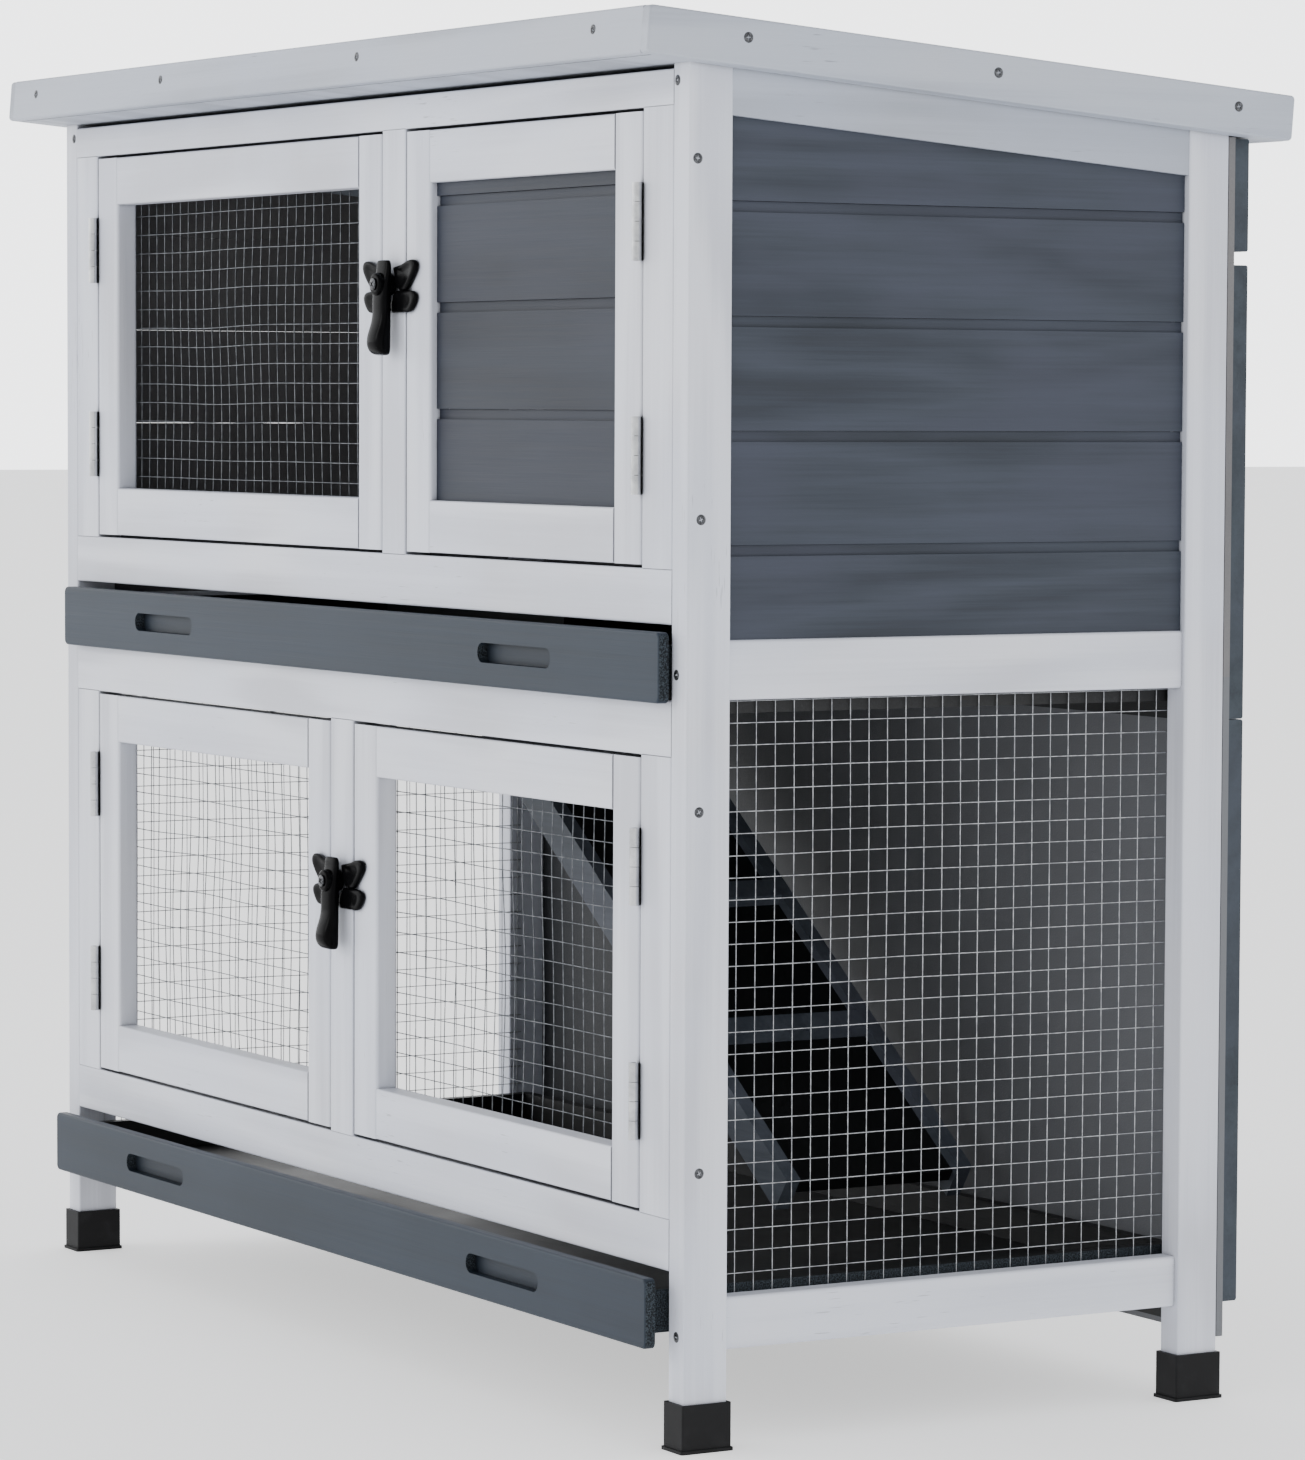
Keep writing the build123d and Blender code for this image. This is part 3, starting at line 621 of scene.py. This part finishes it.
# a darker copy of the galvanised wire for the doors: painted shade
door_wire = metal("door_wire_in_shade", "7c7f83", "54575b", "3f4245", 0.48, 200.0, 0.05)
hinge_finish = metal("hinge_steel", "c4c5c6", "a7a8aa", "202123", 0.12, 60.0, 0.01)
screw_finish = metal("screw_steel", "5f6063", "2f3032", "1b1c1e", 0.30, 700.0, 0.05)
latch_finish = moulded("latch_plastic", colour("070708"), 0.12, 0.01, 0.06)
cap_finish = moulded("cap_plastic", colour("1a1a1b"), 0.46, 0.10, 0.2)
dress("hinge_frame_leaves hinge_door_leaves_ul hinge_door_leaves_ur "
      "hinge_door_leaves_ll hinge_door_leaves_lr hinge_pins", hinge_finish)
dress("foot_caps", cap_finish)

# %% [markdown]
# ## Welded wire mesh
# The flat grille of the bare model stands in for real mesh: thin round wires, the
# upright ones behind the level ones, melted together where they cross. Mesh comes
# off a roll, so it is never quite flat. One smooth wave bends both sets of wires
# alike, and so every weld stays closed.

# %% Helper for new pieces
def add_piece(name, mesh, finish, body, slot, *stands_for):
    piece = bpy.data.objects.new(name, mesh)
    bpy.context.scene.collection.objects.link(piece)
    mesh.materials.clear()
    mesh.materials.append(finish)
    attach(piece, body)
    if stands_for:
        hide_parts(*stands_for)
    print(name, len(mesh.polygons), "faces on", body)


def mesh_from(name, points, faces):
    mesh = bpy.data.meshes.new(name)
    mesh.from_pydata(points, [], faces)
    mesh.polygons.foreach_set("use_smooth", [True] * len(mesh.polygons))
    mesh.update()
    return mesh


# %% Wire mesh
pitch = 12.7 * MM
wire_radius = 0.31 * MM
wire_sides = 6
weld_offset = 0.84 * wire_radius
overrun = 0.28


def add_tube(points, faces, path, across, radius):
    """A round wire along path. across is a direction that the path never follows."""
    start = len(points)
    for i, spot in enumerate(path):
        ahead = path[min(i + 1, len(path) - 1)] - path[max(i - 1, 0)]
        side = ahead.cross(across).normalized()
        up = side.cross(ahead).normalized()
        for k in range(wire_sides):
            angle = 2 * math.pi * k / wire_sides
            points.append(spot + radius * (math.cos(angle) * side + math.sin(angle) * up))
    for i in range(len(path) - 1):
        for k in range(wire_sides):
            a, b = start + i * wire_sides + k, start + i * wire_sides + (k + 1) % wire_sides
            faces.append((a, b, b + wire_sides, a + wire_sides))
    last = start + (len(path) - 1) * wire_sides
    faces.append(tuple(start + k for k in reversed(range(wire_sides))))
    faces.append(tuple(last + k for k in range(wire_sides)))


def wire_mesh(node, body, finish, across, along, out, sway, seed):
    """Welded mesh over one CAD grille.

    out points to the side where the level wires lie, sway is how far the sheet
    wanders, and seed makes each sheet wander its own way. Every wire runs on past
    the last weld by a part of a square, overrun.
    """
    low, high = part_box(node)
    middle = (low + high) / 2
    up = Vector((0, 0, 1))
    wide, tall = (high - low).dot(along), high.z - low.z
    columns = round((wide - 2 * wire_radius) / pitch)
    rows = round((tall - 2 * wire_radius) / pitch)
    phases = [2 * math.pi * ((seed * 0.37 + k * 0.618) % 1) for k in range(6)]

    def spot(u, v, lift):
        """u and v count wires; lift is metres towards out."""
        s, t = u / columns, v / rows
        calm = math.sin(math.pi * min(max(s, 0), 1)) * math.sin(math.pi * min(max(t, 0), 1))
        slide = sway * calm * math.sin(5.1 * t + 3.3 * s + phases[0])
        slide += 0.55 * sway * calm * math.sin(11.0 * t - 2.0 * s + phases[1])
        rise = sway * calm * math.sin(5.7 * s + 2.1 * t + phases[2])
        rise += 0.55 * sway * calm * math.sin(12.5 * s + 3.0 * t + phases[3])
        belly = 2.0 * sway * calm * math.sin(3.9 * s + 2.7 * t + phases[4])
        flat = middle + along * ((u - columns / 2) * pitch + slide)
        return flat + up * ((v - rows / 2) * pitch + rise) + out * (lift + belly)

    points, faces = [], []
    for v in range(rows + 1):
        steps = [-overrun] + [k / 2 for k in range(2 * columns + 1)] + [columns + overrun]
        path = [spot(u, v, weld_offset) for u in steps]
        add_tube(points, faces, path, across, wire_radius)
    for u in range(columns + 1):
        steps = [-overrun] + [k / 2 for k in range(2 * rows + 1)] + [rows + overrun]
        path = [spot(u, v, -weld_offset) for v in steps]
        add_tube(points, faces, path, across, wire_radius)
    mesh = mesh_from(node + "_wires", points, faces)
    add_piece(node + "_wires", mesh, finish, body, "wire_mesh", node)


x_axis, y_axis = Vector((1, 0, 0)), Vector((0, 1, 0))
wire_mesh("right_mesh", "hutch", side_wire, x_axis, y_axis, x_axis, 0.35 * MM, 1)
wire_mesh("left_mesh", "hutch", side_wire, x_axis, y_axis, -x_axis, 0.5 * MM, 2)
wire_mesh("door_ul_mesh", "door_ul", door_wire, y_axis, x_axis, -y_axis, 0.9 * MM, 3)
wire_mesh("door_ll_mesh", "door_ll", door_wire, y_axis, x_axis, -y_axis, 1.2 * MM, 4)
wire_mesh("door_lr_mesh", "door_lr", door_wire, y_axis, x_axis, -y_axis, 1.0 * MM, 5)

# %% [markdown]
# ## Screw heads
# A cross-head screw is a shallow dome with a cross punched into it. The cross is
# tapered, so it is cut with a Boolean from one tapered cutter. One head is made,
# then copied to each place with a turn of its own, because nobody lines them up.

# %% Screw heads
def lathe(profile, turns):
    """Points and faces of a shape turned about Z; profile runs from rim to middle."""
    points, faces = [], []
    for radius, height in profile:
        for k in range(turns):
            angle = 2 * math.pi * k / turns
            points.append((radius * math.cos(angle), radius * math.sin(angle), height))
    for i in range(len(profile) - 1):
        for k in range(turns):
            a, b = i * turns + k, i * turns + (k + 1) % turns
            faces.append((a, b, b + turns, a + turns))
    last = (len(profile) - 1) * turns
    faces.append(tuple(last + k for k in range(turns)))
    faces.append(tuple(reversed(range(turns))))
    return points, faces


CUTTER_FACES = [
    (0, 1, 2, 3), (4, 5, 6, 7), (0, 1, 5, 4), (1, 2, 6, 5), (2, 3, 7, 6), (3, 0, 4, 7),
]


def corner_of(points, pick):
    """The lowest or highest corner of some points; pick is min or max."""
    return Vector([pick(point[i] for point in points) for i in range(3)])


def evaluated(thing):
    """A new mesh of the thing with its modifiers applied."""
    bpy.context.view_layer.update()
    return bpy.data.meshes.new_from_object(
        thing.evaluated_get(bpy.context.evaluated_depsgraph_get()))


def cross_head(radius, rise, under):
    """One cross-head screw head as a mesh, its rim at height 0."""
    dome = [(radius, -under), (radius, 0)]
    dome += [(radius * r, rise * (1 - r ** 2.4)) for r in (0.93, 0.8, 0.6, 0.35, 0.12)]
    head = bpy.data.objects.new("head", mesh_from("head", *lathe(dome, 28)))
    points, faces = [], []
    for turn in (0, 1):
        for height, scale in ((-0.55 * radius, 0.35), (rise * 2, 1.0)):
            for sx, sy in ((-1, -1), (1, -1), (1, 1), (-1, 1)):
                x, y = sx * radius * 0.62 * scale, sy * radius * 0.13 * (0.6 + 0.4 * scale)
                points.append((y, x, height) if turn else (x, y, height))
    for start in (0, 8):
        faces += [tuple(start + k for k in face) for face in CUTTER_FACES]
    shape = bmesh.new()
    cutter_mesh = mesh_from("cutter", points, faces)
    shape.from_mesh(cutter_mesh)
    bmesh.ops.recalc_face_normals(shape, faces=shape.faces)
    shape.to_mesh(cutter_mesh)
    shape.free()
    cutter = bpy.data.objects.new("cutter", cutter_mesh)
    for thing in (head, cutter):
        bpy.context.scene.collection.objects.link(thing)
    cut = head.modifiers.new("cross", "BOOLEAN")
    cut.object, cut.operation, cut.use_self = cutter, "DIFFERENCE", True
    done = evaluated(head)
    for thing in (head, cutter):
        bpy.data.objects.remove(thing)
    print("screw head", len(done.polygons), "faces")
    return done


def set_screws(head, places):
    """Copies of one head at (place, outward direction) pairs, as one mesh."""
    shape = bmesh.new()
    for place, outward in places:
        first = len(shape.verts)
        shape.from_mesh(head)
        shape.verts.ensure_lookup_table()
        turn = Matrix.Rotation(random.uniform(0, math.pi), 4, "Z")
        stand = outward.to_track_quat("Z", "Y").to_matrix().to_4x4()
        move = Matrix.Translation(place) @ stand @ turn
        for vert in shape.verts[first:]:
            vert.co = move @ vert.co
    made = bpy.data.meshes.new("screws")
    shape.to_mesh(made)
    shape.free()
    made.polygons.foreach_set("use_smooth", [False] * len(made.polygons))
    return made


def solids(name):
    """(lowest, highest) corner of each separate lump of one CAD node."""
    shape = bmesh.new()
    shape.from_mesh(boards[name].data)
    bmesh.ops.remove_doubles(shape, verts=shape.verts, dist=1e-6)
    left, lumps = set(shape.verts), []
    while left:
        reach, lump = [left.pop()], []
        while reach:
            vert = reach.pop()
            lump.append(vert.co.copy())
            for edge in vert.link_edges:
                other = edge.other_vert(vert)
                if other in left:
                    left.remove(other)
                    reach.append(other)
        lumps.append((corner_of(lump, min), corner_of(lump, max)))
    shape.free()
    return sorted(lumps, key=lambda lump: tuple(lump[0]))


def outward_of(low, high, middle):
    """The thin direction of a flat disc, pointing away from the hutch's middle."""
    size = high - low
    axis = min(range(3), key=lambda i: size[i])
    direction = Vector((0, 0, 0))
    direction[axis] = 1 if (low + high)[axis] > 2 * middle[axis] else -1
    return direction


hutch_middle = (cad_low + cad_high) / 2
rim_below_middle = 0.25 * MM
frame_places = []
for low, high in solids("frame_screws"):
    outward = outward_of(low, high, hutch_middle)
    frame_places.append(((low + high) / 2 - outward * rim_below_middle, outward))
small_head = cross_head(3.1 * MM, 0.55 * MM, 0.3 * MM)
add_piece("frame_screw_heads", set_screws(small_head, frame_places), screw_finish,
          "hutch", "screw_steel", "frame_screws")
print(len(frame_places), "frame screws")

# %% [markdown]
# ## Turning latches
# Each pair of doors meets at a moulded latch: a lever on one screw in the middle
# post, and a winged catch on each door. The lever has a tab at the top, a round
# boss for the screw, a broad arm, and a thumb pad that swells forward at the foot.
# A loft suits it: a stack of rounded sections whose width and depth follow it down.

# %% Helper: a loft of rounded sections
def rounded(half_wide, back, front, count=16, square=3.2):
    """One section seen from above: a squared-off oval between back and front."""
    middle, half_deep = (back + front) / 2, (front - back) / 2
    ring = []
    for k in range(count):
        c, s = math.cos(2 * math.pi * k / count), math.sin(2 * math.pi * k / count)
        x = math.copysign(abs(c) ** (2 / square), c) * half_wide
        y = middle + math.copysign(abs(s) ** (2 / square), s) * half_deep
        ring.append((x, y))
    return ring


def loft(sections):
    """sections: (height, ring). Points and faces of the closed skin through them."""
    points, faces, count = [], [], len(sections[0][1])
    for height, ring in sections:
        points += [(x, y, height) for x, y in ring]
    for i in range(len(sections) - 1):
        for k in range(count):
            a, b = i * count + k, i * count + (k + 1) % count
            faces.append((a, b, b + count, a + count))
    faces.append(tuple(reversed(range(count))))
    faces.append(tuple((len(sections) - 1) * count + k for k in range(count)))
    return points, faces


def smoothed(name, points, faces, place):
    """A mesh subdivided once and moved to its place, in millimetres until here."""
    mesh = mesh_from(name, [Vector(p) * MM + place for p in points], faces)
    shape = bmesh.new()
    shape.from_mesh(mesh)
    bmesh.ops.recalc_face_normals(shape, faces=shape.faces)
    shape.to_mesh(mesh)
    shape.free()
    holder = bpy.data.objects.new("holder", mesh)
    bpy.context.scene.collection.objects.link(holder)
    holder.modifiers.new("smooth", "SUBSURF").levels = 1
    done = evaluated(holder)
    bpy.data.objects.remove(holder)
    done.name = name
    return done


def joined(name, *meshes):
    shape = bmesh.new()
    for mesh in meshes:
        shape.from_mesh(mesh)
    made = bpy.data.meshes.new(name)
    shape.to_mesh(made)
    shape.free()
    made.polygons.foreach_set("use_smooth", [True] * len(made.polygons))
    return made


# %% The levers
# height, half width, back and front of each section, in mm from the hub on the
# post's face, with front counted as distance out of the face.
LEVER = [
    (15.0, 5.4, 5.6, 7.6), (14.6, 7.4, 5.0, 8.4), (12.5, 8.4, 4.6, 8.8), (8.0, 8.4, 4.6, 9.0),
    (3.0, 8.4, 4.6, 10.4), (-4.0, 8.6, 4.6, 11.8), (-11.0, 8.6, 4.6, 12.2), (-18.0, 8.6, 4.6, 11.8),
    (-24.0, 8.8, 4.6, 12.8), (-29.0, 9.1, 4.6, 14.8), (-33.5, 9.3, 4.6, 16.2), (-38.0, 9.3, 4.6, 16.2),
    (-41.5, 8.8, 4.7, 14.4), (-43.4, 7.4, 5.2, 11.8), (-44.0, 4.6, 6.2, 9.0),
]
HUB_UPPER, HUB_LOWER = 670.8, 294.8
front_face = -186.0


def lever(name, node, body, hub_height):
    low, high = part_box(node)
    hub = Vector(((low.x + high.x) / 2, front_face * MM, hub_height * MM))
    sections = [(h, rounded(half, -front, -back)) for h, half, back, front in LEVER]
    blade = smoothed(name, *loft(sections), hub)
    boss = [(7.2, 0.4), (7.4, 3.0), (7.3, 9.0), (7.2, 12.6), (6.6, 13.5), (5.2, 13.75), (3.9, 13.6)]
    points, faces = lathe(boss, 24)
    points = [(x, -h, y) for x, y, h in points]
    knob = smoothed(name + "_boss", points, faces, hub)
    add_piece(name, joined(name, blade, knob), latch_finish, body, "black_plastic", node)


lever("latch_lever_upper_moulded", "latch_lever_upper", "latch_upper", HUB_UPPER)
lever("latch_lever_lower_moulded", "latch_lever_lower", "latch_lower", HUB_LOWER)

# %% [markdown]
# The catches are flat plates with two lobes each, an ear that points up and out
# and a rounder one below. Their edges are as round as they are thick. The outline
# is a smooth loop through a few points; stacked outlines that shrink towards the
# front make the pillow shape, and the dish in each ear catches the light.

# %% The catches
EAR = [(8.4, 0.0), (14.0, -4.0), (22.0, -3.6), (28.8, 1.4), (34.6, 7.6), (35.8, 11.8),
       (33.0, 14.6), (26.0, 14.6), (18.0, 12.4), (11.0, 11.2), (6.0, 10.0), (8.2, 5.0)]
LOBE = [(8.4, -4.4), (15.0, -4.0), (24.0, -4.0), (32.4, -4.8), (35.4, -8.4), (32.4, -13.6),
        (27.4, -17.2), (19.0, -17.6), (10.0, -17.6), (2.6, -17.2), (2.6, -10.0)]


def smooth_loop(corners, each=4):
    """A closed Catmull-Rom curve through the corners."""
    loop, count = [], len(corners)
    for i in range(count):
        p = [Vector(corners[(i + k - 1) % count]) for k in range(4)]
        for k in range(each):
            t = k / each
            loop.append(0.5 * (
                2 * p[1] + (p[2] - p[0]) * t
                + (2 * p[0] - 5 * p[1] + 4 * p[2] - p[3]) * t ** 2
                + (3 * p[1] - p[0] - 3 * p[2] + p[3]) * t ** 3))
    return loop


def pillow(outline, thick, side):
    """A plate with round edges: the outline at several depths, drawn in near both faces."""
    loop = smooth_loop(outline)
    centre = sum(loop, Vector((0, 0))) / len(loop)
    points, faces, count = [], [], len(loop)
    layers = [(0.80, 0.25), (0.93, 0.2), (1.0, 1.2), (1.0, thick - 1.3), (0.95, thick - 0.4),
              (0.84, thick), (0.62, thick - 0.05), (0.36, thick - 0.7)]
    for scale, depth in layers:
        for spot in loop:
            x, z = centre + (spot - centre) * scale
            points.append((side * x, -depth - 0.2, z))
    for i in range(len(layers) - 1):
        for k in range(count):
            a, b = i * count + k, i * count + (k + 1) % count
            faces.append((a, b, b + count, a + count))
    faces.append(tuple(reversed(range(count))))
    faces.append(tuple((len(layers) - 1) * count + k for k in range(count)))
    return points, faces


def catch(key, side, hub_node, hub_height):
    low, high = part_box(hub_node)
    hub = Vector(((low.x + high.x) / 2, front_face * MM, hub_height * MM))
    name = "catch_wing_" + key + "_moulded"
    ear = smoothed(name, *pillow(EAR, 4.0, side), hub)
    lobe = smoothed(name + "_lobe", *pillow(LOBE, 3.6, side), hub)
    add_piece(name, joined(name, ear, lobe), latch_finish, "door_" + key,
              "black_plastic", "catch_wing_" + key)


catch("ul", -1, "latch_lever_upper", HUB_UPPER)
catch("ur", 1, "latch_lever_upper", HUB_UPPER)
catch("ll", -1, "latch_lever_lower", HUB_LOWER)
catch("lr", 1, "latch_lever_lower", HUB_LOWER)

big_head = cross_head(3.7 * MM, 0.7 * MM, 0.5 * MM)
rim_below_front = 0.9 * MM
screw_places = []
for low, high in solids("latch_screws"):
    middle = (low + high) / 2
    screw_places.append((Vector((middle.x, low.y + rim_below_front, middle.z)), -y_axis))
add_piece("latch_screw_heads", set_screws(big_head, screw_places), screw_finish,
          "hutch", "screw_steel", "latch_screws")
